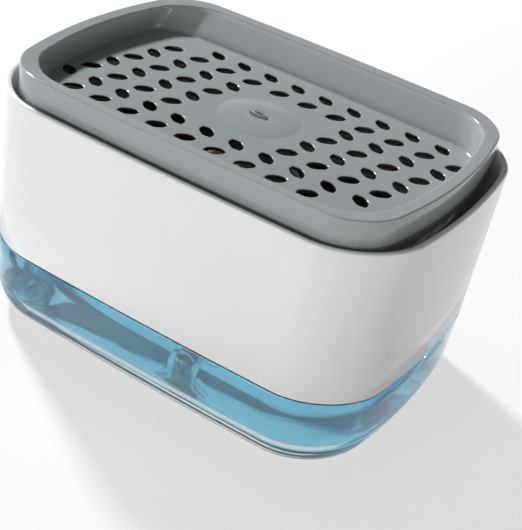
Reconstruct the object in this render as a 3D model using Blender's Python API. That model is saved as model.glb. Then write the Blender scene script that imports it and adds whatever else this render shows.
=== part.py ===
"""Dish soap dispenser: a clear soap tank, a white cover with a hand pump inside it,
and a grey press tray that holds a sponge. Metres, +Z up, the base stands on z = 0,
the long side lies along X and the front faces -Y."""
import math

import bmesh
import bpy
from mathutils import Vector

# Clearances that every piece shares.
seat_gap = 0.0003          # between two pieces that touch
running_gap = 0.0004       # between two pieces that slide past each other
cut_overrun = 0.002        # how far a cutter reaches past what it cuts

# The case, seen from above, measured at the rim of the cover.
case_length = 0.145
case_width = 0.1034
case_corner_radius = 0.0225
case_end_bow = 0.006       # how far a short side stands proud of its corners
case_side_bow = 0.0013     # the same on a long side
case_taper = 0.0006        # how much each side of the cover draws in at its foot

# The tank.
seam_height = 0.028        # where the cover starts
tank_wall = 0.0048
tank_floor = 0.006
tank_draft = 0.0006        # how much each side draws in above the bottom rounding
tank_bottom_radius = 0.012
cavity_bottom_radius = 0.007
soap_headspace = 0.0075    # from the foot of the deck's lip down to the soap

# The ring that seals the tank against the pump deck.
seal_thickness = 0.0014
seal_edge = 0.0002         # how far the seal stays back from both sides of the neck

# The cover.
cover_wall = 0.0018
cover_height = 0.0515
cover_rim_radius = 0.0008
cover_ledge_depth = 0.0022
cover_ledge_thickness = 0.0015

# The deck across the cover, which carries the pump and shuts the tank's neck.
deck_drop = 0.0326         # from the cover's rim down to the deck
deck_thickness = 0.0025
deck_lip_wall = 0.0018
deck_lip_depth = 0.0045
deck_lip_gap = 0.0005
boss_radius = 0.0135
boss_height = 0.0065

# The pump's barrel.
barrel_radius = 0.0102
barrel_wall = 0.0016
barrel_flange_radius = 0.0132
barrel_flange_thickness = 0.0014
barrel_gasket_thickness = 0.001
barrel_lift = 0.0085       # the foot's height above the table
foot_socket_depth = 0.004
foot_neck_length = 0.0011
foot_wall = 0.0018
foot_shoulder = 0.003
inlet_seat_radius = 0.0015
inlet_seat_mouth = 0.0036
inlet_seat_depth = 0.0024

# The tube that draws the soap up.
tube_radius = 0.0031
tube_wall = 0.001
tube_floor_gap = 0.0008

# The two valve balls and the cage over the lower one.
inlet_ball_radius = 0.0026
outlet_ball_radius = 0.0017
ball_lift = 0.0012
ball_rest_gap = 0.00025
cage_foot_thickness = 0.0015
cage_foot_radius = 0.0082
cage_wall = 0.0012
cage_gap = 0.0006
cage_top_thickness = 0.001
cage_top_hole_share = 0.62
cage_window_width = 0.0022
cage_window_height = 0.0018

# The return spring.
spring_wire = 0.0009
spring_coil_radius = 0.0063
spring_turns = 6.0
spring_end_rise = 0.00138  # how far the first and the last turn climb
spring_points_per_turn = 10

# The piston and its rod.
rod_radius = 0.0036
rod_bore_radius = 0.0014
rod_foot_radius = 0.0068
rod_foot_thickness = 0.0015
piston_height = 0.005
piston_gap = 0.0003
piston_cup_depth = 0.002
piston_lip = 0.0012
press_travel = 0.008

# The guide that the rod runs in, and the nut that holds it down.
guide_flange_thickness = 0.0014
guide_plug_gap = 0.0003
nut_wall = 0.0028
nut_top_thickness = 0.002
nut_foot_gap = 0.0008
nut_hole_gap = 0.001
nut_grip_depth = 0.0005
nut_grip_count = 24

# The head on the rod, which carries the tray.
head_radius = 0.014
head_floor_thickness = 0.001
head_neck_radius = 0.0068
head_socket_depth = 0.0029
head_chamber_radius = 0.0026
head_stop_gap = 0.0004
nozzle_pocket_radius = 0.0053
nozzle_seal_thickness = 0.0006
nozzle_seal_bore = 0.0029
nozzle_flange_thickness = 0.0009
nozzle_bore_radius = 0.001
nozzle_length = 0.0064     # the lens-shaped lip, seen from above
nozzle_width = 0.0025
nozzle_stand = 0.0008
nozzle_slit_length = 0.0044
nozzle_slit_width = 0.0008

# The press tray.
tray_end_gap = 0.0052      # from the outside of the cover in to the tray, short side
tray_side_gap = 0.0035     # the same on a long side
tray_corner_radius = 0.014
tray_end_bow = 0.007
tray_plate_bow = 0.0035    # the bow of the plate's short edges
tray_stand = 0.0077        # how far the tray's rim stands above the cover's
tray_depth = 0.0082        # from the rim down to the perforated plate
tray_plate_thickness = 0.0013
tray_skirt_wall = 0.0018
tray_skirt_depth = 0.0175
tray_rim_width = 0.004
tray_rim_drop = 0.0003     # the rim's band slopes down towards the plate by this much
tray_rim_inner_corner = 0.0135    # more than a parallel corner, so the band is wider there
tray_rim_radius = 0.0006
tray_end_slope = 0.0002    # how far a short inner wall leans in
tray_side_slope = 0.0095   # the same on a long inner wall
tray_plate_corner = 0.0095
tray_fillet = 0.0008
tray_ring_wall = 0.002
tray_ring_depth = 0.0058
tray_fillet_rise = 0.0005  # a step half way up the fillet, and how far in it stands
tray_fillet_inset = 0.0003
dome_radius = 0.0131
dome_height = 0.0008
dome_shares = ((0.45, 1.0), (0.75, 0.55), (1.0, 0.0))    # of its radius and its height, from the top down

# The drain slots in the plate.
slot_length = 0.0065
slot_width = 0.0036
slot_angle = math.radians(39.0)
slot_pitch = 0.0104
slot_row_pitch = 0.0081
slot_row_drift = 0.0022
slot_edge = 0.0303         # where the first and the last row are cut straight
slot_rows = 8
slot_end_rows_half = 4     # slots to each side of the middle in the two outer rows
slot_rows_half = 5
slot_blank_half = 1        # slots left out to each side of the middle by the outlet

# How finely the shapes are drawn.
corner_steps = 8
side_steps = 6
bottom_steps = 6
cavity_steps = 4
rim_steps = 3
round_steps = 32
lens_steps = 5
ball_segments = 16
ball_rings = 10
sharp_angle = math.radians(40.0)

# Places that follow from the sizes above.
rim_height = seam_height + cover_height
deck_top = rim_height - deck_drop
deck_bottom = deck_top - deck_thickness
seal_bottom = deck_bottom - seat_gap - seal_thickness
neck_top = seal_bottom - seat_gap
soap_level = deck_bottom - deck_lip_depth - soap_headspace
boss_top = deck_top + boss_height
gasket_bottom = boss_top + seat_gap
flange_bottom = gasket_bottom + barrel_gasket_thickness + seat_gap
barrel_top = flange_bottom + barrel_flange_thickness
barrel_bore = barrel_radius - barrel_wall
guide_bottom_of_flange = barrel_top + seat_gap
guide_top = guide_bottom_of_flange + guide_flange_thickness
nut_plate_bottom = guide_top + seat_gap
nut_top = nut_plate_bottom + nut_top_thickness
head_bottom = nut_top + press_travel + head_stop_gap
tray_top = rim_height + tray_stand
plate_top = tray_top - tray_depth
plate_bottom = plate_top - tray_plate_thickness
head_top = plate_bottom - seat_gap
socket_top = barrel_lift + foot_socket_depth
seat_bottom = socket_top + foot_neck_length
seat_top = seat_bottom + inlet_seat_depth
cage_bottom = seat_top + seat_gap
cage_foot_top = cage_bottom + cage_foot_thickness


def clear_scene():
    for thing in list(bpy.data.objects):
        bpy.data.objects.remove(thing, do_unlink=True)


def finish(name, colour, roughness, metallic=0.0, alpha=1.0):
    """A plain Principled material with the colour read from the photograph."""
    material = bpy.data.materials.new(name)
    material.use_nodes = True
    shader = material.node_tree.nodes["Principled BSDF"]
    shader.inputs["Base Color"].default_value = (*colour, 1.0)
    shader.inputs["Roughness"].default_value = roughness
    shader.inputs["Metallic"].default_value = metallic
    shader.inputs["Alpha"].default_value = alpha
    return material


def case_outline(half_length, half_width, radius, end_bow, side_bow):
    """A rounded rectangle whose sides bow outwards, as a list of x, y pairs."""
    flat = []
    quarter = math.pi / 2
    for corner, (side_x, side_y) in enumerate(((1, 1), (-1, 1), (-1, -1), (1, -1))):
        centre_x = side_x * (half_length - radius)
        centre_y = side_y * (half_width - radius)
        for step in range(corner_steps + 1):
            turn = corner * quarter + quarter * step / corner_steps
            flat.append((centre_x + radius * math.cos(turn), centre_y + radius * math.sin(turn)))
        start = flat[-1]
        next_x, next_y = ((-1, 1), (-1, -1), (1, -1), (1, 1))[corner]
        if corner % 2 == 0:
            end = (next_x * (half_length - radius), start[1])
        else:
            end = (start[0], next_y * (half_width - radius))
        for step in range(1, side_steps):
            part = step / side_steps
            flat.append((start[0] + (end[0] - start[0]) * part, start[1] + (end[1] - start[1]) * part))
    bowed = []
    for x, y in flat:
        along = x / half_length
        across = y / half_width
        bowed.append((x - end_bow * along * across * across, y - side_bow * across * along * along))
    return bowed


def loop_at(outline, height):
    return [Vector((x, y, height)) for x, y in outline]


def taper_at(height):
    """How far the cover's sides have drawn in at a height."""
    below_rim = (rim_height - max(height, seam_height)) / cover_height
    return case_taper * below_rim


def case_loop(height, inset=0.0, level=None):
    """The case's outline at a height, moved in by inset. level is where the taper is read."""
    draw_in = inset + taper_at(height if level is None else level)
    outline = case_outline(case_length / 2 - draw_in, case_width / 2 - draw_in,
                           max(case_corner_radius - draw_in, seat_gap),
                           case_end_bow, case_side_bow)
    return loop_at(outline, height)


def tray_loop(height, inset=0.0, end_extra=0.0, side_extra=0.0, radius=None, end_bow=tray_end_bow):
    """The tray's outline at a height, moved in by inset and by more on its short and long sides."""
    half_length = case_length / 2 - tray_end_gap - inset - end_extra
    half_width = case_width / 2 - tray_side_gap - inset - side_extra
    corner = max(tray_corner_radius - inset, seat_gap) if radius is None else radius
    return loop_at(case_outline(half_length, half_width, corner, end_bow, case_side_bow), height)


def round_loop(radius, height, like):
    """A circle with its points at the same bearings as those of another loop."""
    points = []
    for point in like:
        bearing = math.atan2(point.y, point.x)
        points.append(Vector((radius * math.cos(bearing), radius * math.sin(bearing), height)))
    return points


def circle(radius, height, count=round_steps):
    return [Vector((radius * math.cos(math.tau * step / count),
                    radius * math.sin(math.tau * step / count), height)) for step in range(count)]


def fillet_steps(radius, count):
    """Pairs of how far in and how far up a rounding is, from its foot to its top."""
    return [(radius * (1 - math.sin(math.pi / 2 * step / count)),
             radius * (1 - math.cos(math.pi / 2 * step / count))) for step in range(count + 1)]


def add_object(name, mesh, material):
    thing = bpy.data.objects.new(name, mesh)
    bpy.context.scene.collection.objects.link(thing)
    mesh.materials.append(material)
    mesh.shade_smooth()
    mesh.set_sharp_from_angle(angle=sharp_angle)
    return thing


def loft(name, loops, material, ring=False, place=None):
    """Skin a list of loops into one closed solid. A ring joins its last loop to its first."""
    model = bmesh.new()
    rows = [[model.verts.new(point) for point in loop] for loop in loops]
    pairs = list(zip(rows, rows[1:]))
    if ring:
        pairs.append((rows[-1], rows[0]))
    for lower, upper in pairs:
        count = len(lower)
        for index in range(count):
            after = (index + 1) % count
            model.faces.new((lower[index], lower[after], upper[after], upper[index]))
    if not ring:
        model.faces.new(rows[0])
        model.faces.new(rows[-1])
    bmesh.ops.recalc_face_normals(model, faces=model.faces)
    mesh = bpy.data.meshes.new(name)
    model.to_mesh(mesh)
    model.free()
    thing = add_object(name, mesh, material)
    if place is not None:
        put_origin(thing, place)
    return thing


def put_origin(thing, place):
    """Move an object's origin to a point and leave its shape where it is."""
    shift = Vector(place)
    for vertex in thing.data.vertices:
        vertex.co -= shift
    thing.location = shift


def turned(name, profile, material, place=None):
    """A hollow turned piece, from the radius and height pairs of its closed profile."""
    return loft(name, [circle(radius, height) for radius, height in profile], material,
                ring=True, place=place)


def ball(name, radius, height, material):
    model = bmesh.new()
    bmesh.ops.create_uvsphere(model, u_segments=ball_segments, v_segments=ball_rings, radius=radius)
    mesh = bpy.data.meshes.new(name)
    model.to_mesh(mesh)
    model.free()
    thing = add_object(name, mesh, material)
    thing.location = (0, 0, height)
    return thing


def cutter_object(name, mesh):
    thing = bpy.data.objects.new(name, mesh)
    bpy.context.scene.collection.objects.link(thing)
    thing.hide_render = True
    thing.display_type = "WIRE"
    return thing


def cut(thing, cutter):
    step = thing.modifiers.new("cut", "BOOLEAN")
    step.operation = "DIFFERENCE"
    step.solver = "EXACT"
    step.object = cutter


def prism(model, outline, bottom, top):
    """Add an upright closed prism to a mesh that is being made."""
    lower = [model.verts.new((x, y, bottom)) for x, y in outline]
    upper = [model.verts.new((x, y, top)) for x, y in outline]
    count = len(outline)
    faces = [model.faces.new(list(reversed(lower))), model.faces.new(upper)]
    for index in range(count):
        after = (index + 1) % count
        faces.append(model.faces.new((lower[index], lower[after], upper[after], upper[index])))
    return faces


def cutter_mesh(name, outlines, bottom, top):
    model = bmesh.new()
    for outline in outlines:
        prism(model, outline, bottom, top)
    bmesh.ops.recalc_face_normals(model, faces=model.faces)
    mesh = bpy.data.meshes.new(name)
    model.to_mesh(mesh)
    model.free()
    return cutter_object(name, mesh)


def lens(centre_x, centre_y, length, width, angle, steps=lens_steps):
    """A lens with two pointed ends, anticlockwise from its far end."""
    outline = []
    for side in (1, -1):
        for step in range(steps):
            along = side * (1 - 2 * step / steps)
            across = side * (1 - along * along)
            x = along * length / 2
            y = across * width / 2
            outline.append((centre_x + x * math.cos(angle) - y * math.sin(angle),
                            centre_y + x * math.sin(angle) + y * math.cos(angle)))
    return outline


def slot_outlines():
    """The herringbone of drain slots: each row leans the other way and drifts sideways."""
    outlines = []
    middle = (slot_rows - 1) / 2
    for row in range(slot_rows):
        outer = row in (0, slot_rows - 1)
        half = slot_end_rows_half if outer else slot_rows_half
        blank = row not in (0, 1, slot_rows - 2, slot_rows - 1)
        lean = slot_angle if row % 2 == 0 else -slot_angle
        for column in range(-half, half + 1):
            if blank and abs(column) <= slot_blank_half:
                continue
            x = column * slot_pitch + (row - middle) * slot_row_drift
            y = (row - middle) * slot_row_pitch
            outline = lens(x, y, slot_length, slot_width, lean)
            outlines.append(trim_to_band(outline, slot_edge))
    return outlines


def trim_to_band(outline, limit):
    """Cut an outline straight where it passes plus or minus limit in y."""
    kept = []
    count = len(outline)
    for index, (x, y) in enumerate(outline):
        next_x, next_y = outline[(index + 1) % count]
        inside = abs(y) <= limit
        if inside:
            kept.append((x, y))
        if inside != (abs(next_y) <= limit):
            edge = limit if max(y, next_y) > limit else -limit
            part = (edge - y) / (next_y - y)
            kept.append((x + (next_x - x) * part, edge))
    return kept


def make_tank(material):
    loops = []
    for inward, upward in fillet_steps(tank_bottom_radius, bottom_steps):
        loops.append(case_loop(upward, inward + tank_draft))
    loops.append(case_loop(seam_height))
    neck_inset = cover_wall + running_gap
    loops.append(case_loop(seam_height, neck_inset))
    loops.append(case_loop(neck_top, neck_inset, seam_height))
    loops.append(case_loop(neck_top, tank_wall, seam_height))
    for inward, upward in reversed(fillet_steps(cavity_bottom_radius, cavity_steps)):
        loops.append(case_loop(tank_floor + upward, tank_wall + inward, seam_height))
    return loft("tank", loops, material)


def make_soap(material):
    """The soap fills the tank round the pump, with a hole that the pump lifts out of."""
    loops = []
    for inward, upward in fillet_steps(cavity_bottom_radius, cavity_steps):
        loops.append(case_loop(tank_floor + seat_gap + upward, tank_wall + seat_gap + inward, seam_height))
    loops.append(case_loop(soap_level, tank_wall + seat_gap, seam_height))
    soap = loft("liquid_soap", loops, material)
    wide = barrel_radius + running_gap
    narrow = foot_radius() + running_gap
    foot_top = barrel_lift - running_gap
    bottom = tank_floor - cut_overrun
    top = soap_level + cut_overrun
    bore = loft("soap_bore", [circle(tube_radius + running_gap, bottom),
                              circle(tube_radius + running_gap, foot_top),
                              circle(narrow, foot_top), circle(narrow, seat_bottom - running_gap),
                              circle(wide, seat_top - running_gap), circle(wide, top)], material)
    bore.hide_render = True
    bore.display_type = "WIRE"
    cut(soap, bore)
    return soap


def make_tank_seal(material):
    outer = cover_wall + running_gap + seal_edge
    inner = tank_wall - seal_edge
    top = seal_bottom + seal_thickness
    return loft("tank_seal", [case_loop(seal_bottom, outer, seam_height), case_loop(top, outer, seam_height),
                              case_loop(top, inner, seam_height), case_loop(seal_bottom, inner, seam_height)],
                material, ring=True)


def make_deck(material):
    edge = cover_wall + seat_gap
    lip_out = tank_wall + deck_lip_gap
    lip_in = lip_out + deck_lip_wall
    lip_foot = deck_bottom - deck_lip_depth
    outline = case_loop(deck_top, edge, seam_height)
    hole = barrel_radius + running_gap
    loops = [outline,
             round_loop(boss_radius, deck_top, outline), round_loop(boss_radius, boss_top, outline),
             round_loop(hole, boss_top, outline), round_loop(hole, deck_bottom, outline),
             case_loop(deck_bottom, lip_in, seam_height), case_loop(lip_foot, lip_in, seam_height),
             case_loop(lip_foot, lip_out, seam_height), case_loop(deck_bottom, lip_out, seam_height),
             case_loop(deck_bottom, edge, seam_height)]
    return loft("pump_deck", loops, material, ring=True)


def make_cover(material):
    foot = seam_height + running_gap
    ledge_bottom = deck_top + seat_gap
    ledge_top = ledge_bottom + cover_ledge_thickness
    ledge_inset = cover_wall + cover_ledge_depth
    loops = [case_loop(foot)]
    rounding = fillet_steps(cover_rim_radius, rim_steps)
    for inward, downward in reversed(rounding):
        loops.append(case_loop(rim_height - downward, inward))
    for inward, downward in rounding:
        loops.append(case_loop(rim_height - downward, cover_wall - inward))
    loops += [case_loop(ledge_top, cover_wall), case_loop(ledge_top, ledge_inset),
              case_loop(ledge_bottom, ledge_inset), case_loop(ledge_bottom, cover_wall),
              case_loop(foot, cover_wall)]
    return loft("cover_shell", loops, material, ring=True)


def foot_radius():
    return tube_radius + seat_gap + foot_wall


def make_barrel_gasket(material):
    inner = barrel_radius + running_gap
    top = gasket_bottom + barrel_gasket_thickness
    return turned("barrel_gasket", [(inner, gasket_bottom), (inner, top),
                                    (barrel_flange_radius, top), (barrel_flange_radius, gasket_bottom)],
                  material)


def make_barrel(material):
    socket = tube_radius + seat_gap
    shoulder_top = barrel_lift + foot_socket_depth + foot_shoulder
    profile = [(barrel_bore, barrel_top), (barrel_flange_radius, barrel_top),
               (barrel_flange_radius, flange_bottom), (barrel_radius, flange_bottom),
               (barrel_radius, shoulder_top + foot_shoulder / 2),
               (foot_radius(), shoulder_top - foot_shoulder / 2),
               (foot_radius(), barrel_lift), (socket, barrel_lift), (socket, socket_top),
               (inlet_seat_radius, socket_top), (inlet_seat_radius, seat_bottom),
               (inlet_seat_mouth, seat_top), (barrel_bore, seat_top)]
    return turned("pump_barrel", profile, material)


def make_suction_tube(material):
    bottom = tank_floor + tube_floor_gap
    top = socket_top - seat_gap
    bore = tube_radius - tube_wall
    return turned("suction_tube", [(bore, bottom), (bore, top), (tube_radius, top), (tube_radius, bottom)],
                  material)


def inlet_ball_height():
    """Where the ball's middle lies when it rests just clear of its cone."""
    slope = math.atan2(inlet_seat_mouth - inlet_seat_radius, inlet_seat_depth)
    apex = seat_bottom - inlet_seat_radius / math.tan(slope)
    return apex + (inlet_ball_radius + ball_rest_gap) / math.sin(slope)


def make_ball_cage(material):
    bore = inlet_ball_radius + cage_gap
    outside = bore + cage_wall
    ceiling = inlet_ball_height() + inlet_ball_radius + ball_lift + ball_rest_gap
    top = ceiling + cage_top_thickness
    hole = inlet_ball_radius * cage_top_hole_share
    inner_foot = max(bore, inlet_seat_mouth)
    profile = [(inner_foot, cage_bottom), (cage_foot_radius, cage_bottom), (cage_foot_radius, cage_foot_top),
               (outside, cage_foot_top), (outside, top), (hole, top), (hole, ceiling), (bore, ceiling),
               (bore, cage_foot_top)]
    cage = turned("ball_cage", profile, material)
    low = ceiling - cage_window_height
    reach = outside + cut_overrun
    half = cage_window_width / 2
    slab = [(-reach, -half), (reach, -half), (reach, half), (-reach, half)]
    cut(cage, cutter_mesh("cage_window_x", [slab], low, ceiling))
    cut(cage, cutter_mesh("cage_window_y", [[(-y, x) for x, y in slab]], low, ceiling))
    return cage


def spring_heights():
    bottom = cage_foot_top + seat_gap
    return bottom, piston_rod_bottom() - seat_gap


def piston_rod_bottom():
    """The rod's foot: the piston's top meets the guide, which stops the upward stroke."""
    return guide_plug_bottom() - seat_gap - piston_height - seat_gap - rod_foot_thickness


def guide_plug_bottom():
    """The guide's plug ends where the piston stops, at the middle of the barrel's upper half."""
    return deck_bottom + (boss_top - deck_bottom) / 4


def spring_points():
    """A coil with one close turn at each end, as points on its wire's middle."""
    bottom, top = spring_heights()
    start = bottom + spring_wire / 2
    rise = top - bottom - spring_wire
    active_rise = rise - 2 * spring_end_rise
    active_turns = spring_turns - 2
    points = []
    total = int(spring_turns * spring_points_per_turn)
    for step in range(total + 1):
        turn = step / spring_points_per_turn
        height = spring_end_rise * min(turn, 1.0)
        height += active_rise * min(max(turn - 1.0, 0.0), active_turns) / active_turns
        height += spring_end_rise * max(turn - 1.0 - active_turns, 0.0)
        bearing = math.tau * turn
        points.append(Vector((spring_coil_radius * math.cos(bearing),
                              spring_coil_radius * math.sin(bearing), start + height)))
    return points


def make_spring(material):
    points = spring_points()
    near = min((first - second).length for index, first in enumerate(points)
               for second in points[index + spring_points_per_turn // 2:])
    print("return_spring: least gap between turns", round(near - spring_wire, 6), "m")
    curve = bpy.data.curves.new("return_spring", "CURVE")
    curve.dimensions = "3D"
    curve.bevel_depth = spring_wire / 2
    curve.bevel_resolution = 1
    curve.use_fill_caps = True
    wire = curve.splines.new("POLY")
    wire.points.add(len(points) - 1)
    for slot, point in zip(wire.points, points):
        slot.co = (*point, 1.0)
    curve.materials.append(material)
    thing = bpy.data.objects.new("return_spring", curve)
    bpy.context.scene.collection.objects.link(thing)
    return thing


def make_piston(material):
    bottom = piston_rod_bottom() + rod_foot_thickness + seat_gap
    top = bottom + piston_height
    inner = rod_radius + seat_gap
    outer = barrel_bore - piston_gap
    groove = outer - piston_lip
    web = inner + piston_lip
    profile = [(inner, bottom), (web, bottom), (web, bottom + piston_cup_depth),
               (groove, bottom + piston_cup_depth), (groove, bottom), (outer, bottom), (outer, top),
               (inner, top)]
    return turned("piston_seal", profile, material, place=(0, 0, bottom))


def rod_top():
    return head_bottom + head_socket_depth - seat_gap


def make_rod(material):
    bottom = piston_rod_bottom()
    shoulder = bottom + rod_foot_thickness
    profile = [(rod_bore_radius, bottom), (rod_foot_radius, bottom), (rod_foot_radius, shoulder),
               (rod_radius, shoulder), (rod_radius, rod_top()), (rod_bore_radius, rod_top())]
    return turned("piston_rod", profile, material, place=(0, 0, bottom))


def make_guide(material):
    plug = barrel_bore - guide_plug_gap
    bore = rod_radius + running_gap
    profile = [(bore, guide_plug_bottom()), (plug, guide_plug_bottom()), (plug, guide_bottom_of_flange),
               (barrel_flange_radius, guide_bottom_of_flange), (barrel_flange_radius, guide_top),
               (bore, guide_top)]
    return turned("stem_guide", profile, material)


def nut_radius():
    return boss_radius + seat_gap + nut_wall


def make_nut(material):
    """The nut's skirt goes over the boss, and its outside has grip ribs."""
    inner = boss_radius + seat_gap
    hole = rod_radius + nut_hole_gap
    foot = deck_top + nut_foot_gap
    count = nut_grip_count * 2

    def ribbed(height):
        points = circle(nut_radius(), height, count)
        for index in range(0, count, 2):
            points[index] = points[index] * ((nut_radius() - nut_grip_depth) / nut_radius())
            points[index].z = height
        return points

    loops = [ribbed(foot), ribbed(nut_top), circle(hole, nut_top, count), circle(hole, nut_plate_bottom, count),
             circle(inner, nut_plate_bottom, count), circle(inner, foot, count)]
    return loft("lock_nut", loops, material, ring=True)


def nozzle_levels():
    """Heights in the head, from the seal's floor up: floor, seal top, flange bottom, flange top."""
    flange_top = head_top
    flange_foot = flange_top - nozzle_flange_thickness
    seal_top = flange_foot - seat_gap
    floor = seal_top - nozzle_seal_thickness - seat_gap
    return floor, seal_top, flange_foot, flange_top


def make_head(material):
    floor = nozzle_levels()[0]
    socket = rod_radius + seat_gap
    socket_end = head_bottom + head_socket_depth
    under = floor - head_floor_thickness
    profile = [(head_radius, head_top), (head_radius, under), (head_neck_radius, under),
               (head_neck_radius, head_bottom), (socket, head_bottom), (socket, socket_end),
               (head_chamber_radius, socket_end), (head_chamber_radius, floor),
               (nozzle_pocket_radius, floor), (nozzle_pocket_radius, head_top)]
    return turned("plunger_head", profile, material, place=(0, 0, head_bottom))


def outlet_ball_height():
    reach = outlet_ball_radius + ball_rest_gap
    return rod_top() + math.sqrt(reach * reach - rod_bore_radius * rod_bore_radius)


def make_nozzle_seal(material):
    floor, seal_top = nozzle_levels()[:2]
    outer = nozzle_pocket_radius - seat_gap
    bottom = floor + seat_gap
    return turned("nozzle_seal", [(nozzle_seal_bore, bottom), (nozzle_seal_bore, seal_top),
                                  (outer, seal_top), (outer, bottom)], material)


def dome_top():
    return plate_top + dome_height


def make_nozzle(material):
    """A round flange under the plate that narrows to a lens-shaped lip with a slit."""
    flange_foot, flange_top = nozzle_levels()[2:]
    steps = lens_steps * 2
    top = dome_top() + nozzle_stand
    lip = lens(0, 0, nozzle_length, nozzle_width, 0, steps)
    slit = lens(0, 0, nozzle_slit_length, nozzle_slit_width, 0, steps)
    flange = nozzle_pocket_radius - seat_gap
    slit_foot = (flange_top + top) / 2
    loops = [circle(flange, flange_foot, 2 * steps), circle(flange, flange_top, 2 * steps),
             loop_at(lip, flange_top), loop_at(lip, top), loop_at(slit, top), loop_at(slit, slit_foot),
             circle(nozzle_bore_radius, flange_foot, 2 * steps)]
    return loft("nozzle_insert", loops, material, ring=True, place=(0, 0, flange_foot))


def make_tray(material):
    """Rim, skirt and plate with its low dome in one moulding, then the slots and the outlet's hole."""
    inner = tray_rim_width
    skirt_foot = tray_top - tray_skirt_depth
    band_foot = tray_top - tray_rim_drop
    plate_edge = tray_loop(plate_top, inner, tray_end_slope + tray_fillet,
                           tray_side_slope, tray_plate_corner, tray_plate_bow)
    loops = [round_loop(dome_radius * outward, plate_top + dome_height * upward, plate_edge)
             for outward, upward in dome_shares]
    loops += [plate_edge,
              tray_loop(plate_top + tray_fillet_rise, inner, tray_end_slope + tray_fillet_inset,
                        tray_side_slope - tray_fillet, tray_plate_corner, tray_plate_bow),
              tray_loop(band_foot, inner, radius=tray_rim_inner_corner),
              tray_loop(tray_top, tray_rim_radius),
              tray_loop(tray_top - tray_rim_radius), tray_loop(skirt_foot),
              tray_loop(skirt_foot, tray_skirt_wall),
              tray_loop(plate_bottom, tray_skirt_wall)]
    ring_inside = head_radius + running_gap
    ring_outside = ring_inside + tray_ring_wall
    ring_foot = plate_bottom - tray_ring_depth
    loops += [round_loop(ring_outside, plate_bottom, plate_edge),
              round_loop(ring_outside, ring_foot, plate_edge),
              round_loop(ring_inside, ring_foot, plate_edge),
              round_loop(ring_inside, plate_bottom, plate_edge)]
    tray = loft("press_tray", loops, material, place=(0, 0, plate_bottom))
    outlet = lens(0, 0, nozzle_length + 2 * seat_gap, nozzle_width + 2 * seat_gap, 0, lens_steps * 2)
    low = plate_bottom - cut_overrun
    high = plate_top + cut_overrun
    cut(tray, cutter_mesh("slot_cutters", slot_outlines() + [outlet], low, high))
    return tray


def build():
    clear_scene()
    clear = finish("clear_tank", (0.80, 0.88, 0.92), 0.06, alpha=0.35)
    soap = finish("blue_soap", (0.17, 0.45, 0.62), 0.05, alpha=0.6)
    white = finish("white_gloss", (0.86, 0.86, 0.87), 0.15)
    grey = finish("grey_satin", (0.37, 0.40, 0.41), 0.35)
    charcoal = finish("charcoal_plastic", (0.035, 0.037, 0.04), 0.4)
    natural = finish("natural_plastic", (0.83, 0.83, 0.80), 0.4)
    rubber = finish("seal_rubber", (0.06, 0.06, 0.065), 0.7)
    steel = finish("spring_steel", (0.62, 0.62, 0.62), 0.25, metallic=1.0)
    make_tank(clear)
    make_soap(soap)
    make_tank_seal(rubber)
    make_deck(charcoal)
    make_cover(white)
    make_barrel_gasket(rubber)
    make_barrel(natural)
    make_suction_tube(natural)
    make_ball_cage(natural)
    ball("inlet_ball", inlet_ball_radius, inlet_ball_height(), steel)
    make_spring(steel)
    make_piston(rubber)
    make_rod(natural)
    make_guide(natural)
    make_nut(natural)
    make_head(grey)
    ball("outlet_ball", outlet_ball_radius, outlet_ball_height(), steel)
    make_nozzle_seal(rubber)
    make_nozzle(grey)
    make_tray(grey)


build()
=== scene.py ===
# %% [markdown]
# # A dish soap dispenser with a press tray
#
# The real object has a clear tank of blue soap, a white cover that holds a hand pump, and a grey
# tray with drain slots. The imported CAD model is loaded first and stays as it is: it says where each
# piece is and what moves. This lesson puts finer pieces and real finishes round it.

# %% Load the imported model
import math

import bmesh
import bpy
from mathutils import Matrix, Vector
from mathutils.geometry import delaunay_2d_cdt


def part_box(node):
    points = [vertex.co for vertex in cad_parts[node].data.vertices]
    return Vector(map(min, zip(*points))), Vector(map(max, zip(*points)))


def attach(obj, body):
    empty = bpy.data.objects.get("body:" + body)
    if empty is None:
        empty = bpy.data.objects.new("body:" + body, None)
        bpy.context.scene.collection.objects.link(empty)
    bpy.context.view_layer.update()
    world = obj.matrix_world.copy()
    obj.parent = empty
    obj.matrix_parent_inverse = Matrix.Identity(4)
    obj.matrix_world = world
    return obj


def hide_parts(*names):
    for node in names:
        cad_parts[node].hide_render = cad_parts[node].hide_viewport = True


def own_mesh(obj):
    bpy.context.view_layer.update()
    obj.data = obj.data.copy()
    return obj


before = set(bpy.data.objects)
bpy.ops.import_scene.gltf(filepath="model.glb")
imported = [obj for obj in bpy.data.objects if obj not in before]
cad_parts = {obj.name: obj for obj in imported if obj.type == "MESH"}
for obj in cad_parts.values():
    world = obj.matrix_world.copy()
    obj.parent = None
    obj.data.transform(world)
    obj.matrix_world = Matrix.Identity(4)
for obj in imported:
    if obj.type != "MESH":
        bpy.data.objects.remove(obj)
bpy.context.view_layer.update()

# %% [markdown]
# ## The camera
#
# The photograph looks down at the dispenser from the front right, with the camera rolled, so that
# the dispenser seems to lean. The camera's three axes are written out, because a roll of this kind
# is awkward to reach with a target and an up direction.

# %% Place the camera
camera_place = (0.15146, -0.29037, 0.23518)
camera_right = (0.8248, 0.5424, 0.1595)
camera_up = (-0.4220, 0.4029, 0.8121)
camera_back = (0.3763, -0.7372, 0.5613)
lens_length = 80.36
frame_shift = (0.0516, 0.0590)

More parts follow.
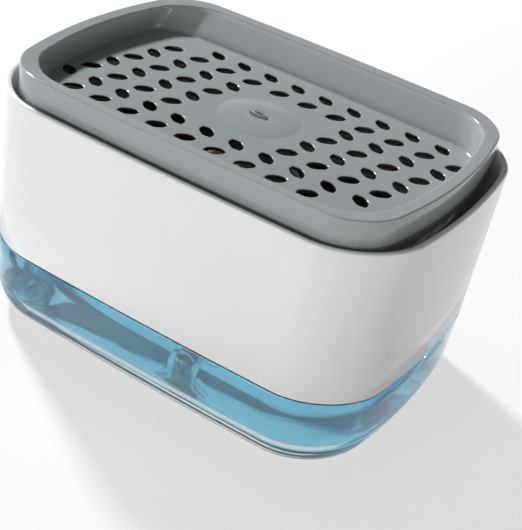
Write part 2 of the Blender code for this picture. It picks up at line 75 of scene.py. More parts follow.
camera_data = bpy.data.cameras.new("camera")
camera_data.lens = lens_length
camera_data.shift_x, camera_data.shift_y = frame_shift
camera_data.clip_start = 0.01
camera = bpy.data.objects.new("camera", camera_data)
camera.matrix_world = (Matrix.Translation(camera_place)
                       @ Matrix((camera_right, camera_up, camera_back)).transposed().to_4x4())
bpy.context.scene.collection.objects.link(camera)
bpy.context.scene.camera = camera
bpy.context.scene.view_settings.view_transform = "Standard"
print("camera at", camera_place, "with a lens of", lens_length, "mm")

# %% [markdown]
# ## The sizes that the pieces share
#
# These are the sizes of the CAD pieces, in metres. A finer piece that stands for a CAD piece has to
# lie where the CAD piece lies, so the outlines are drawn from the same values, with more points.

# %% Sizes of the case, the tank and the tray
seat_gap = 0.0003
case_length, case_width = 0.145, 0.1034
case_corner_radius, case_end_bow, case_side_bow = 0.0225, 0.006, 0.0013
case_taper = 0.0006
seam_height, cover_height = 0.028, 0.0515
rim_height = seam_height + cover_height
tray_end_gap, tray_side_gap = 0.0052, 0.0035
tray_corner_radius, tray_end_bow = 0.014, 0.007
tray_top = rim_height + 0.0077
plate_top = tray_top - 0.0082
plate_bottom = plate_top - 0.0013
corner_steps, side_steps = 16, 16
print("cover rim at", round(rim_height, 4), "tray rim at", round(tray_top, 4))

# %% [markdown]
# ## Outlines and skins
#
# Almost every moulding here is a rounded rectangle whose sides bow outwards a little. One function
# draws that outline, and another skins a stack of such outlines into a closed mesh. A rounding is
# a few outlines close together, so each highlight on an edge comes from real shape.

# %% Draw the rounded outline
def bowed_rectangle(half_length, half_width, radius, end_bow, side_bow):
    """Points of a rounded rectangle, anticlockwise, whose sides bow out past its corners."""
    points = []
    for corner, (side_x, side_y) in enumerate(((1, 1), (-1, 1), (-1, -1), (1, -1))):
        middle_x = side_x * (half_length - radius)
        middle_y = side_y * (half_width - radius)
        for step in range(corner_steps + 1):
            turn = (corner + step / corner_steps) * math.pi / 2
            points.append((middle_x + radius * math.cos(turn), middle_y + radius * math.sin(turn)))
        start = points[-1]
        next_x, next_y = ((-1, 1), (-1, -1), (1, -1), (1, 1))[corner]
        end_x = next_x * (half_length - radius) if corner % 2 == 0 else start[0]
        end_y = start[1] if corner % 2 == 0 else next_y * (half_width - radius)
        for step in range(1, side_steps):
            part = step / side_steps
            points.append((start[0] + (end_x - start[0]) * part, start[1] + (end_y - start[1]) * part))
    bowed = []
    for x, y in points:
        along, across = x / half_length, y / half_width
        bowed.append((x - end_bow * along * across ** 2, y - side_bow * across * along ** 2))
    return bowed


case_plan = bowed_rectangle(case_length / 2, case_width / 2, case_corner_radius, case_end_bow, case_side_bow)
print("points in one outline:", len(case_plan))

# %% Draw the case's outline, the tray's and a circle
def case_ring(height, inset=0.0, level=None):
    """The case's outline at a height, moved in by inset. level is where the taper is read."""
    below_rim = (rim_height - max(height if level is None else level, seam_height)) / cover_height
    draw_in = inset + case_taper * below_rim
    flat = bowed_rectangle(case_length / 2 - draw_in, case_width / 2 - draw_in,
                           max(case_corner_radius - draw_in, seat_gap), case_end_bow, case_side_bow)
    return [Vector((x, y, height)) for x, y in flat]


def tray_ring(height, inset=0.0, end_extra=0.0, side_extra=0.0, radius=None, end_bow=tray_end_bow):
    """The tray's outline at a height, moved in by inset and by more on short and long sides."""
    flat = bowed_rectangle(case_length / 2 - tray_end_gap - inset - end_extra,
                           case_width / 2 - tray_side_gap - inset - side_extra,
                           max(tray_corner_radius - inset, seat_gap) if radius is None else radius,
                           end_bow, case_side_bow)
    return [Vector((x, y, height)) for x, y in flat]


def circle_ring(radius, height, count):
    """A circle of points at a height."""
    return [Vector((radius * math.cos(math.tau * step / count),
                    radius * math.sin(math.tau * step / count), height)) for step in range(count)]


print("the case's rim starts at", [round(x, 4) for x in case_ring(rim_height)[0]])

# %% Skin a stack of outlines
def skin(model, rings, closed=False):
    """Join each ring of points to the next one with four-sided faces."""
    rows = [[model.verts.new(point) for point in ring] for ring in rings]
    pairs = list(zip(rows, rows[1:]))
    if closed:
        pairs.append((rows[-1], rows[0]))
    for lower, upper in pairs:
        for index in range(len(lower)):
            after = (index + 1) % len(lower)
            model.faces.new((lower[index], lower[after], upper[after], upper[index]))
    return rows


def rounding(radius, steps):
    """Pairs of how far in and how far down a rounded edge is, from its side to its top."""
    turns = [math.pi / 2 * step / steps for step in range(steps + 1)]
    return [(radius * (1 - math.cos(turn)), radius * (1 - math.sin(turn))) for turn in turns]


print("rounding of 1 mm in 2 steps:", [tuple(round(x, 5) for x in pair) for pair in rounding(0.001, 2)])

# %% Turn a skinned model into a piece
same_point = 1e-7


def finish_mesh(name, model, sharp_angle=50.0):
    """Close up a mesh that was skinned in parts, turn its faces outwards and shade it smooth."""
    bmesh.ops.remove_doubles(model, verts=model.verts, dist=same_point)
    bmesh.ops.recalc_face_normals(model, faces=model.faces)
    mesh = bpy.data.meshes.new(name)
    model.to_mesh(mesh)
    model.free()
    mesh.shade_smooth()
    mesh.set_sharp_from_angle(angle=math.radians(sharp_angle))
    piece = bpy.data.objects.new(name, mesh)
    bpy.context.scene.collection.objects.link(piece)
    print(name, "has", len(mesh.polygons), "faces")
    return piece


print("points closer than", same_point, "m become one")

# %% [markdown]
# ## Finishes
#
# Nearly all the pieces are moulded plastic. Real moulded plastic is never one flat value: the colour
# drifts a little over some centimetres, the gloss changes where hands have rubbed it, and the skin
# has a fine ripple. One function builds these three as noise at three sizes round a Principled
# shader, and each finish gives its own colour, gloss and depth of ripple. The rubber of the seals is
# built the same way, with a coarser skin and hardly any gloss.

# %% Noise and ranges in a node tree
usual_noise = (0.3, 0.7)


def noise_at(tree, scale, detail, distortion=0.0):
    """Noise in object space, so that its grain keeps its real size on every piece."""
    place = tree.nodes.new("ShaderNodeTexCoord")
    noise = tree.nodes.new("ShaderNodeTexNoise")
    noise.inputs["Scale"].default_value = scale
    noise.inputs["Detail"].default_value = detail
    noise.inputs["Distortion"].default_value = distortion
    tree.links.new(place.outputs["Object"], noise.inputs["Vector"])
    return noise.outputs["Fac"]


def ranged(tree, value, from_low, from_high, to_low, to_high):
    """Turn one range of values into another."""
    node = tree.nodes.new("ShaderNodeMapRange")
    node.inputs["From Min"].default_value = from_low
    node.inputs["From Max"].default_value = from_high
    node.inputs["To Min"].default_value = to_low
    node.inputs["To Max"].default_value = to_high
    tree.links.new(value, node.inputs["Value"])
    return node.outputs["Result"]


def spread(tree, noise, low, high):
    """Stretch a noise over a range of values. Most of a noise lies within usual_noise."""
    return ranged(tree, noise, *usual_noise, low, high)


print("most of a noise lies within", usual_noise)

# %% Make a moulded plastic finish
colour_one, colour_two, colour_mixed = 6, 7, 2
drift_scale, drift_detail = 35.0, 3.0
rub_scale, rub_detail, rub_distortion = 160.0, 5.0, 0.4
grain_detail = 2.0


def moulded(name, colour, roughness, drift=0.03, rub=0.05, ripple=0.00002, grain=700.0, **settings):
    """A plastic with drifting colour, rubbed gloss and a fine ripple. Other settings go on the shader.

    A Mix node has sockets for several kinds of value, so those for colours are found by number.
    """
    material = bpy.data.materials.new(name)
    material.use_nodes = True
    tree = material.node_tree
    shader = tree.nodes["Principled BSDF"]
    tint = tree.nodes.new("ShaderNodeMix")
    tint.data_type = "RGBA"
    tint.inputs[colour_one].default_value = (*(part * (1 - drift) for part in colour), 1.0)
    tint.inputs[colour_two].default_value = (*(min(part * (1 + drift), 1.0) for part in colour), 1.0)
    tree.links.new(spread(tree, noise_at(tree, drift_scale, drift_detail), 0.0, 1.0), tint.inputs[0])
    tree.links.new(tint.outputs[colour_mixed], shader.inputs["Base Color"])
    gloss = spread(tree, noise_at(tree, rub_scale, rub_detail, rub_distortion),
                   roughness - rub / 2, roughness + rub / 2)
    tree.links.new(gloss, shader.inputs["Roughness"])
    bump = tree.nodes.new("ShaderNodeBump")
    bump.inputs["Strength"].default_value = 1.0
    bump.inputs["Distance"].default_value = ripple
    tree.links.new(noise_at(tree, grain, grain_detail), bump.inputs["Height"])
    tree.links.new(bump.outputs["Normal"], shader.inputs["Normal"])
    for label, value in settings.items():
        shader.inputs[label.replace("_", " ")].default_value = value
    return material


print("one stretch of drifting colour is about", round(1000 / drift_scale), "mm wide")

# %% The opaque finishes
tray_grey = moulded("tray_grey", (0.370, 0.400, 0.410), 0.11, drift=0.02, rub=0.04, ripple=0.00001)
cover_white = moulded("cover_white", (0.86, 0.86, 0.87), 0.16, drift=0.006, rub=0.04)
deck_charcoal = moulded("deck_charcoal", (0.035, 0.037, 0.04), 0.4)
pump_natural = moulded("pump_natural", (0.83, 0.83, 0.80), 0.38, drift=0.02)
# The next material is no plastic of the object: a near-black material that paints shade onto faces that lie
# in shadow.
painted_shade = moulded("painted_shade", (0.03, 0.033, 0.035), 0.45, drift=0.02)
rubber_black = moulded("rubber_black", (0.06, 0.06, 0.065), 0.65, ripple=0.00005, grain=1500.0)
opaque_finishes = (tray_grey, cover_white, deck_charcoal, pump_natural, painted_shade, rubber_black)
print("opaque finishes:", [finish.name for finish in opaque_finishes])

# %% [markdown]
# ## Clear plastic, soap and steel
#
# The tank is thick clear plastic, so it bends the light like a lens: it is a Principled shader with
# full transmission. The soap takes its blue from depth, which is how a real coloured liquid works,
# so its colour is an absorption inside the volume and not a paint on the surface.

# %% The see-through finishes and the steel
tank_clear = moulded("tank_clear", (0.97, 0.985, 0.99), 0.03, drift=0.005, rub=0.03, ripple=0.000004,
                     grain=60.0, Transmission_Weight=1.0, IOR=1.49)
soap_blue = moulded("soap_blue", (0.80, 0.93, 0.97), 0.02, drift=0.01, rub=0.01, ripple=0.000002,
                    grain=90.0, Transmission_Weight=1.0, IOR=1.34)
soap_tree = soap_blue.node_tree
depth_colour = soap_tree.nodes.new("ShaderNodeVolumeAbsorption")
depth_colour.inputs["Color"].default_value = (0.02, 0.60, 0.75, 1.0)
depth_colour.inputs["Density"].default_value = 15.0
soap_tree.links.new(depth_colour.outputs["Volume"], soap_tree.nodes["Material Output"].inputs["Volume"])
spring_steel = moulded("spring_steel", (0.62, 0.62, 0.62), 0.26, drift=0.04, rub=0.12, grain=2500.0,
                       Metallic=1.0)
print("see-through finishes:", tank_clear.name, soap_blue.name, "and a metal:", spring_steel.name)

# %% [markdown]
# ## Dressing a piece
#
# Each new piece needs its finish, the body that it moves with, and the CAD pieces that it stands
# for. Some places on a piece, such as the inside of a slot, lie in so much shade that they look
# nearly black on the real object. Their faces get a second, near-black material that paints this
# shade on, so that they stay dark under any light.

# %% Put a finish and a body on a piece
def dress(piece, finish, body, slot, *stands_for):
    """Give a piece its finish, let it ride on its body and say which CAD pieces it stands for."""
    piece.data.materials.clear()
    piece.data.materials.append(finish)
    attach(piece, body)
    if stands_for:
        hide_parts(*stands_for)
    print(piece.name, "rides on", body)


def paint_shade_on(piece, gets_painted_shade):
    """Paint shade onto the faces that the test picks, with a second, near-black material."""
    piece.data.materials.append(painted_shade)
    painted_shade_faces = [face for face in piece.data.polygons if gets_painted_shade(face)]
    for face in painted_shade_faces:
        face.material_index = 1
    print(piece.name, "has", len(painted_shade_faces), "faces in the dark finish")


# %% [markdown]
# ## The drain slots
#
# The slots are small pointed shapes with nearly straight sides, in eight rows. Each row leans the
# other way, and the first and the last row are cut straight. They could be cut with a Boolean, but
# then their lips would be knife edges. Here each slot is a list of points, so that the same points
# can be grown by a little for the rounded lip that catches the light.

# %% Draw and cut a lens
def lens(middle_x, middle_y, length, width, lean, steps, fullness=2.0):
    """A lens with two pointed ends, anticlockwise from its far end. More fullness straightens its sides."""
    points = []
    for side in (1, -1):
        for step in range(steps):
            along = side * (1 - 2 * step / steps)
            x, y = along * length / 2, side * (1 - abs(along) ** fullness) * width / 2
            points.append(Vector((middle_x + x * math.cos(lean) - y * math.sin(lean),
                                  middle_y + x * math.sin(lean) + y * math.cos(lean))))
    return points


def cut_straight(points, limit):
    """Keep the part of an outline that lies between minus limit and limit in y."""
    kept = []
    for index, point in enumerate(points):
        after = points[(index + 1) % len(points)]
        is_kept = abs(point.y) <= limit
        if is_kept:
            kept.append(point)
        if is_kept != (abs(after.y) <= limit):
            edge = math.copysign(limit, after.y if is_kept else point.y)
            kept.append(point.lerp(after, (edge - point.y) / (after.y - point.y)))
    return kept


print("points in a lens of 6 steps:", len(lens(0, 0, 0.002, 0.001, 0, 6)))

# %% Grow an outline
blunt_limit = 0.7


def grown(points, distance):
    """The same outline moved outwards, with blunt corners where it is pointed."""
    moved = []
    for index, point in enumerate(points):
        before = (point - points[index - 1]).normalized()
        after = (points[(index + 1) % len(points)] - point).normalized()
        out = Vector((before.y + after.y, -before.x - after.x)).normalized()
        reach = max(out.dot(Vector((before.y, -before.x))), blunt_limit)
        moved.append(point + out * distance / reach)
    return moved


print("a sharp corner moves at most", round(1 / blunt_limit, 2), "times as far as a straight side")

# %% Lay out the slots
slot_length, slot_width, slot_lean = 0.0068, 0.0038, math.radians(39.0)
slot_fullness, slot_steps = 3.4, 6
slot_pitch, slot_row_pitch, slot_row_drift = 0.0104, 0.0081, 0.0022
slot_rows, slot_straight_edge, full_rows_to_a_side = 8, 0.0303, 2
slots_to_a_side, slots_to_a_side_outer, left_out_by_outlet = 5, 4, 1
slots = []
middle_row = (slot_rows - 1) / 2
for row in range(slot_rows):
    outer_row = row in (0, slot_rows - 1)
    reach = slots_to_a_side_outer if outer_row else slots_to_a_side
    by_outlet = full_rows_to_a_side <= row < slot_rows - full_rows_to_a_side
    for column in range(-reach, reach + 1):
        if by_outlet and abs(column) <= left_out_by_outlet:
            continue
        shape = lens(column * slot_pitch + (row - middle_row) * slot_row_drift,
                     (row - middle_row) * slot_row_pitch, slot_length, slot_width,
                     slot_lean if row % 2 == 0 else -slot_lean, slot_steps, slot_fullness)
        slots.append(cut_straight(shape, slot_straight_edge))
print("slots in the plate:", len(slots))

# %% [markdown]
# ## The flat of the plate
#
# The plate is a flat face with 72 holes, a low dome and the outlet in it. Blender's triangulation
# for constrained edges fills the flat between all these outlines in one call. A thin flat collar
# goes round each outline first: it keeps the shading of the flat truly flat up to the lip.

# %% Tell whether a point lies inside an outline
def inside(point, outline):
    """Whether a point lies inside an outline, by counting the edges that a ray crosses."""
    crossings = 0
    for index, one in enumerate(outline):
        two = outline[(index + 1) % len(outline)]
        if (one[1] > point[1]) != (two[1] > point[1]):
            crossed_x = one[0] + (point[1] - one[1]) * (two[0] - one[0]) / (two[1] - one[1])
            crossings += crossed_x > point[0]
    return crossings % 2 == 1


print("the middle lies inside the case's rim:", inside((0.0, 0.0), case_ring(rim_height)))

# %% Fill the flat between outlines
fill_inside, fill_precision = 1, 1e-9


def fill_flat(model, outer, holes, height):
    """Fill the flat between an outer outline and its holes with triangles at one height."""
    points, edges = [], []
    for outline in (outer, *holes):
        first = len(points)
        points += [Vector((point[0], point[1])) for point in outline]
        edges += [(first + index, first + (index + 1) % len(outline)) for index in range(len(outline))]
    found, _, triangles, _, _, _ = delaunay_2d_cdt(points, edges, [], fill_inside, fill_precision)
    corners = [model.verts.new((point.x, point.y, height)) for point in found]
    boxes = [(min(point[0] for point in hole), max(point[0] for point in hole),
              min(point[1] for point in hole), max(point[1] for point in hole), hole) for hole in holes]
    kept = 0
    for triangle in triangles:
        x = sum(found[index].x for index in triangle) / 3
        y = sum(found[index].y for index in triangle) / 3
        in_hole = any(low_x < x < high_x and low_y < y < high_y and inside((x, y), hole)
                      for low_x, high_x, low_y, high_y, hole in boxes)
        if not in_hole and inside((x, y), outer):
            model.faces.new([corners[index] for index in triangle])
            kept += 1
    print("flat at", round(height, 4), "filled with", kept, "triangles")


print("points in all the slots:", sum(len(slot) for slot in slots))

# %% [markdown]
# ## The press tray
#
# The real tray is one moulding: a rim, a deep skirt that slides inside the cover, sloping inner
# walls, the plate with its slots, and a low dome round the outlet. It is skinned from outlines, the
# flats are filled between them, and it stays one closed mesh that could be printed.

# %% Sizes of the tray
rim_width, rim_drop, rim_edge_radius, rim_edge_steps = 0.0040, 0.0003, 0.0005, 5
rim_inner_corner = 0.0135
rim_inner_edge = ((0.0, 0.0004), (0.00006, 0.00022), (0.00018, 0.00009), (0.0004, 0.0))
end_slope, side_slope, plate_corner, plate_bow = 0.0002, 0.0095, 0.0095, 0.0035
fillet_at_ends, fillet_at_sides, fillet_rise, fillet_ease = 0.0008, 0.0009, 0.0008, 1.5
skirt_wall, skirt_depth, skirt_line, skirt_edge = 0.0018, 0.0175, 0.006, 0.0004
socket_inside, socket_outside, socket_depth = 0.0144, 0.0164, 0.0058
dome_radius, dome_height, dome_fullness = 0.0131, 0.0008, 3.2
outlet_length, outlet_width, outlet_mouth_edge = 0.0064, 0.0025, 0.0002
lip_radius, foot_lip_radius, lip_steps, collar = 0.00045, 0.0007, 4, 0.00012
slot_field_x, slot_field_y = 0.0625, 0.0365
shade_below_lip, shade_tilt = 0.38, 0.65
dome_points = 64
print("the plate is", round(plate_top - plate_bottom, 4), "thick, the dome rises", dome_height)

# %% Helpers for outlines at a height
def at(outline, height):
    """An outline at a height."""
    return [Vector((point[0], point[1], height)) for point in outline]


def blended(one, two, share):
    """Outlines part way between two outlines that have the same number of points."""
    return [a.lerp(b, share) for a, b in zip(one, two)]


def plate_ring(height, end_inset, side_inset):
    """The plate's outline at a height, inside the rim and the sloping walls."""
    return tray_ring(height, rim_width, end_inset, side_inset, plate_corner, plate_bow)


print("the plate's outline starts at", [round(x, 4) for x in plate_ring(plate_top, end_slope, side_slope)[0]])

# %% Stack the outlines of the rim, the walls and the skirt
tray_model = bmesh.new()
band_foot = tray_top - rim_drop
end_foot = end_slope + fillet_at_ends
flat_edge = plate_ring(plate_top, end_foot + collar, side_slope + collar)
plate_edge = plate_ring(plate_top, end_foot, side_slope)
wall_foot = plate_ring(plate_top + fillet_rise, 2 * end_slope, side_slope - fillet_at_sides)
wall_head = tray_ring(band_foot, rim_width, radius=rim_inner_corner)
wall_rings = [flat_edge, plate_edge]
for share in (0.25, 0.5, 0.75, 1.0):
    turn = share * math.pi / 2
    level = plate_top + fillet_rise * (1 - math.cos(turn))
    wall_rings.append(at(blended(plate_edge, wall_foot, math.sin(turn) ** fillet_ease), level))
for share in (0.2, 0.4, 0.6, 0.8, 0.93):
    wall_rings.append(blended(wall_foot, wall_head, share))
for outward, drop in rim_inner_edge:
    wall_rings.append(tray_ring(band_foot - drop, rim_width - outward, radius=rim_inner_corner))
band_start, band_end = wall_rings[-1], tray_ring(tray_top, rim_edge_radius)
for share in (0.05, 0.5, 0.95):
    wall_rings.append(blended(band_start, band_end, share))
for inward, down in reversed(rounding(rim_edge_radius, rim_edge_steps)):
    wall_rings.append(tray_ring(tray_top - down, inward))
skirt_foot = tray_top - skirt_depth
wall_rings += [tray_ring(tray_top - skirt_line), tray_ring(skirt_foot + skirt_edge),
               tray_ring(skirt_foot, skirt_edge), tray_ring(skirt_foot, skirt_wall - skirt_edge),
               tray_ring(skirt_foot + skirt_edge, skirt_wall), tray_ring(plate_bottom, skirt_wall)]
skin(tray_model, wall_rings)
print("outlines in the rim, the walls and the skirt:", len(wall_rings))

# %% Skin the slots
slot_tops, slot_feet = [], []
for slot in slots:
    rings = [at(grown(slot, lip_radius + collar), plate_top)]
    for outward, down in reversed(rounding(lip_radius, lip_steps)):
        rings.append(at(grown(slot, outward), plate_top - down))
    for outward, up in rounding(foot_lip_radius, lip_steps):
        rings.append(at(grown(slot, outward), plate_bottom + up))
    skin(tray_model, rings)
    slot_tops.append(rings[0])
    slot_feet.append(rings[-1])
print("faces so far:", len(tray_model.faces))

# %% Skin the dome
outlet = lens(0, 0, outlet_length + 2 * seat_gap, outlet_width + 2 * seat_gap, 0, dome_points // 2)
dome_rings = [circle_ring(dome_radius + collar, plate_top, dome_points),
              circle_ring(dome_radius, plate_top, dome_points)]
for share in (0.98, 0.9, 0.8, 0.7, 0.6, 0.5, 0.4):
    rise = dome_height * (1 - share ** dome_fullness)
    dome_rings.append(circle_ring(dome_radius * share, plate_top + rise, dome_points))
dome_top = plate_top + dome_height
dome_rings += [at(grown(outlet, outlet_mouth_edge), dome_top), at(outlet, dome_top - outlet_mouth_edge),
               at(outlet, plate_bottom)]
skin(tray_model, dome_rings)
print("outlines in the dome:", len(dome_rings))

# %% Fill the flats and skin the socket under the plate
fill_flat(tray_model, flat_edge, [dome_rings[0], *slot_tops], plate_top)
socket_foot = plate_bottom - socket_depth
socket_rings = [circle_ring(radius, height, dome_points)
                for radius, height in ((socket_outside, plate_bottom), (socket_outside, socket_foot),
                                       (socket_inside, socket_foot), (socket_inside, plate_bottom))]
skin(tray_model, socket_rings)
fill_flat(tray_model, wall_rings[-1], [socket_rings[0], *slot_feet], plate_bottom)
fill_flat(tray_model, socket_rings[-1], [outlet], plate_bottom)
tray = finish_mesh("tray_moulding", tray_model)
dress(tray, tray_grey, "tray", "tray", "press_tray")

# %% Paint shade into the insides of the slots
def in_a_slot(face):
    """Whether a face is upright and lies in the plate, below the bright part of a slot's lip."""
    upright = abs(face.normal.z) < shade_tilt
    in_plate = plate_bottom < face.center.z < plate_top - lip_radius * shade_below_lip
    under_well = abs(face.center.x) < slot_field_x and abs(face.center.y) < slot_field_y
    return upright and in_plate and under_well


# The slot walls below the bright part of the lip get painted shade, for the shadow inside each slot.
paint_shade_on(tray, in_a_slot)

# %% [markdown]
# ## The soap outlet
#
# A small lens-shaped lip stands on the dome and has a slit that the soap comes out of. Its edges
# are rounded, so that it shows as a bright line in the middle of the plate, and the inside of the
# slit gets painted shade, a near-black material for the shadow in it. Its outlines go from its foot
# over the lip and down the slit, and close in a ring.

# %% Build the soap outlet
outlet_low, outlet_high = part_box("nozzle_insert")
flange_foot, flange_radius, flange_thickness = outlet_low.z, outlet_high.x, 0.0009
flange_top = flange_foot + flange_thickness
lip_edge, lip_edge_steps, bore_radius = 0.0003, 4, 0.001
slit_length, slit_width, slit_edge, slit_shade_margin = 0.0044, 0.0008, 0.00015, 0.0001
slit_foot = (flange_top + outlet_high.z) / 2
outlet_model = bmesh.new()
lip = lens(0, 0, outlet_length, outlet_width, 0, dome_points // 2)
slit = lens(0, 0, slit_length, slit_width, 0, dome_points // 2)
outlet_rings = [circle_ring(flange_radius, flange_foot, dome_points),
                circle_ring(flange_radius, flange_top, dome_points), at(lip, flange_top)]
for inward, down in rounding(lip_edge, lip_edge_steps):
    outlet_rings.append(at(grown(lip, -inward), outlet_high.z - down))
outlet_rings += [at(grown(slit, slit_edge), outlet_high.z), at(slit, outlet_high.z - slit_edge),
                 at(slit, slit_foot), circle_ring(bore_radius, flange_foot, dome_points)]
skin(outlet_model, outlet_rings, closed=True)
soap_outlet = finish_mesh("soap_outlet", outlet_model)
dress(soap_outlet, tray_grey, "tray", "tray", "nozzle_insert")

# %% Paint shade into the inside of the slit
def in_the_slit(face):
    """Whether a face lies inside the slit, below its mouth."""
    in_length = abs(face.center.x) < slit_length / 2
    in_width = abs(face.center.y) < slit_width / 2 + slit_shade_margin
    return in_length and in_width and flange_top < face.center.z < outlet_high.z - slit_shade_margin


# The inside of the slit gets painted shade, for the shadow in it.
paint_shade_on(soap_outlet, in_the_slit)

# %% [markdown]
# ## The cover
#
# The cover is a tall white sleeve that draws in a little towards its foot. Its rim is rounded on
# both sides, and a ledge inside it holds the deck of the pump. A tube with a Bevel modifier would
# round the ledge and the foot as well, so the outlines are skinned up the outside and down the
# inside, and only the rim gets a rounding.

# %% Build the cover
cover_wall, cover_rim_radius, cover_rim_steps = 0.0018, 0.0008, 6
ledge_depth, ledge_thickness = 0.0022, 0.0015
seam_gap, foot_edge, deck_drop = 0.0004, 0.0002, 0.0326
cover_foot = seam_height + seam_gap
ledge_bottom = rim_height - deck_drop + seat_gap
ledge_top = ledge_bottom + ledge_thickness
cover_model = bmesh.new()
cover_rings = [case_ring(cover_foot, foot_edge), case_ring(cover_foot + foot_edge)]
for share in (0.25, 0.5, 0.75, 0.95):
    cover_rings.append(case_ring(cover_foot + (rim_height - cover_foot) * share))
for inward, down in rounding(cover_rim_radius, cover_rim_steps):
    cover_rings.append(case_ring(rim_height - down, inward))
for inward, down in reversed(rounding(cover_rim_radius, cover_rim_steps)):
    cover_rings.append(case_ring(rim_height - down, cover_wall - inward))
cover_rings += [case_ring(ledge_top, cover_wall), case_ring(ledge_top, cover_wall + ledge_depth),
                case_ring(ledge_bottom, cover_wall + ledge_depth), case_ring(ledge_bottom, cover_wall),
                case_ring(cover_foot, cover_wall)]
skin(cover_model, cover_rings, closed=True)
cover = finish_mesh("cover_sleeve", cover_model)
dress(cover, cover_white, "cover", "cover_shell", "cover_shell")

# %% [markdown]
# ## The tank and its soap
#
# The tank is one thick clear piece with a big rounding at its foot and a smaller one in its cavity.
# Clear plastic against liquid hardly reflects, because both bend light about the same. In a render
# this only comes out right when the liquid reaches a hair into the plastic, with no air between.
# The shoulder just under the cover gets painted shade: a near-black strip for the shadow in the seam.
# The soap has a hole round the foot of the pump, so that the pump can be lifted out of it.

# %% Build the tank
tank_wall, tank_floor, tank_draft = 0.0048, 0.006, 0.0006
tank_foot_radius, cavity_foot_radius = 0.012, 0.007
tank_foot_steps, cavity_foot_steps = 16, 12
neck_gap = 0.0004
neck_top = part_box("tank")[1].z
shoulder_edge, seam_line = 0.0002, 0.0009
tank_model = bmesh.new()
tank_rings = []
for up, inward in rounding(tank_foot_radius, tank_foot_steps):
    tank_rings.append(case_ring(up, tank_draft + inward))
for share in (0.33, 0.66, 0.985):
    height = tank_foot_radius + (seam_height - tank_foot_radius) * share
    tank_rings.append(case_ring(height, tank_draft * (1 - share)))
neck_inset = cover_wall + neck_gap
tank_rings += [case_ring(seam_height, shoulder_edge), case_ring(seam_height, seam_line),
               case_ring(seam_height, neck_inset),
               case_ring(neck_top, neck_inset, seam_height), case_ring(neck_top, tank_wall, seam_height)]
for up, inward in reversed(rounding(cavity_foot_radius, cavity_foot_steps)):
    tank_rings.append(case_ring(tank_floor + up, tank_wall + inward, seam_height))
tank_rows = skin(tank_model, tank_rings)
tank_model.faces.new(tank_rows[0])
tank_model.faces.new(tank_rows[-1])
tank = finish_mesh("tank_body", tank_model)
dress(tank, tank_clear, "tank", "tank", "tank")

# %% Paint the shadow at the seam
same_height = 1e-6


def place_key(point):
    """A point's place seen from above, to a hundredth of a millimetre."""
    return round(point.x, 5), round(point.y, 5)


outer_edge = {place_key(point) for point in case_ring(seam_height, shoulder_edge)}


def at_the_seam(face):
    """Whether a face is in the outermost strip of the shoulder."""
    corners = [tank.data.vertices[corner].co for corner in face.vertices]
    on_shoulder = all(abs(corner.z - seam_height) < same_height for corner in corners)
    return on_shoulder and any(place_key(corner) in outer_edge for corner in corners)


# The outermost strip of the shoulder gets painted shade, for the shadow in the seam.
paint_shade_on(tank, at_the_seam)

# %% Draw a circle that follows an outline
def round_like(radius, height, outline):
    """A circle whose points lie at the same bearings as those of an outline."""
    return [Vector((radius * point.x / point.xy.length, radius * point.y / point.xy.length, height))
            for point in outline]


print("points in such a circle:", len(round_like(0.01, 0.0, case_ring(0.0))))

# %% Build the soap
soap_reach = 0.0001
soap_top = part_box("liquid_soap")[1].z
barrel_outside, foot_outside, tube_outside = 0.0106, 0.0056, 0.0035
barrel_foot, seat_foot, seat_head = 0.0081, 0.0132, 0.0156
soap_model = bmesh.new()
soap_rings = []
for up, inward in rounding(cavity_foot_radius, cavity_foot_steps):
    soap_rings.append(case_ring(tank_floor - soap_reach + up, tank_wall - soap_reach + inward, seam_height))
soap_rings.append(case_ring(soap_top, tank_wall - soap_reach, seam_height))
for radius, height in ((barrel_outside, soap_top), (barrel_outside, seat_head), (foot_outside, seat_foot),
                       (foot_outside, barrel_foot), (tube_outside, barrel_foot),
                       (tube_outside, tank_floor - soap_reach)):
    soap_rings.append(round_like(radius, height, soap_rings[0]))
skin(soap_model, soap_rings, closed=True)
soap = finish_mesh("soap_fill", soap_model)
dress(soap, soap_blue, "tank", "liquid_soap", "liquid_soap")

# %% [markdown]
# ## The rest of the pump
#
# The pump's own pieces are hidden until the cover or the tray is lifted. Their CAD shapes are right,
# so they stay and only get their finishes.

# %% Give the pump's pieces their finishes
finish_of = {
    "tank_seal": rubber_black, "barrel_gasket": rubber_black, "piston_seal": rubber_black,
    "nozzle_seal": rubber_black, "pump_deck": deck_charcoal, "pump_barrel": pump_natural,
    "suction_tube": pump_natural, "ball_cage": pump_natural, "piston_rod": pump_natural,
    "stem_guide": pump_natural, "lock_nut": pump_natural, "plunger_head": tray_grey,
    "inlet_ball": spring_steel, "outlet_ball": spring_steel,
}
for name, finish in finish_of.items():
    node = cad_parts[name]
    node.data.materials.clear()
    node.data.materials.append(finish)
print("pieces that keep their CAD shape:", len(finish_of))

# %% [markdown]
# ## The return spring
#
# A steel coil stands on the cage over the lower valve and lifts the tray again after each push. A
# rigid coil would run through the piston when the tray goes down. This piece is a copy of the coil
# with a mesh of its own, and it rides on the cover.

# %% Make the spring's own copy
spring = bpy.data.objects.new("spring_coil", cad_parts["return_spring"].data.copy())
bpy.context.scene.collection.objects.link(spring)
dress(spring, spring_steel, "cover", "steel", "return_spring")
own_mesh(spring)

# %% [markdown]
# ## The floor
#
# The photograph has a white ground. The floor shines white only towards the camera and in
# reflections, so that it stays white without pouring light on the object. Close to the object it is
# partly matt, so that it keeps a shadow, and further out it fades into the white around it, so that
# no edge shows. The Light Path node tells the rays apart.

# %% Build the floor
floor_size, floor_drop = 4.0, 0.0002
floor_model = bmesh.new()
bmesh.ops.create_grid(floor_model, x_segments=2, y_segments=2, size=floor_size / 2)
floor_mesh = bpy.data.meshes.new("floor")
floor_model.to_mesh(floor_mesh)
floor_model.free()
floor = bpy.data.objects.new("floor", floor_mesh)
floor.location.z = -floor_drop
bpy.context.scene.collection.objects.link(floor)
print("floor is", floor_size, "m wide")

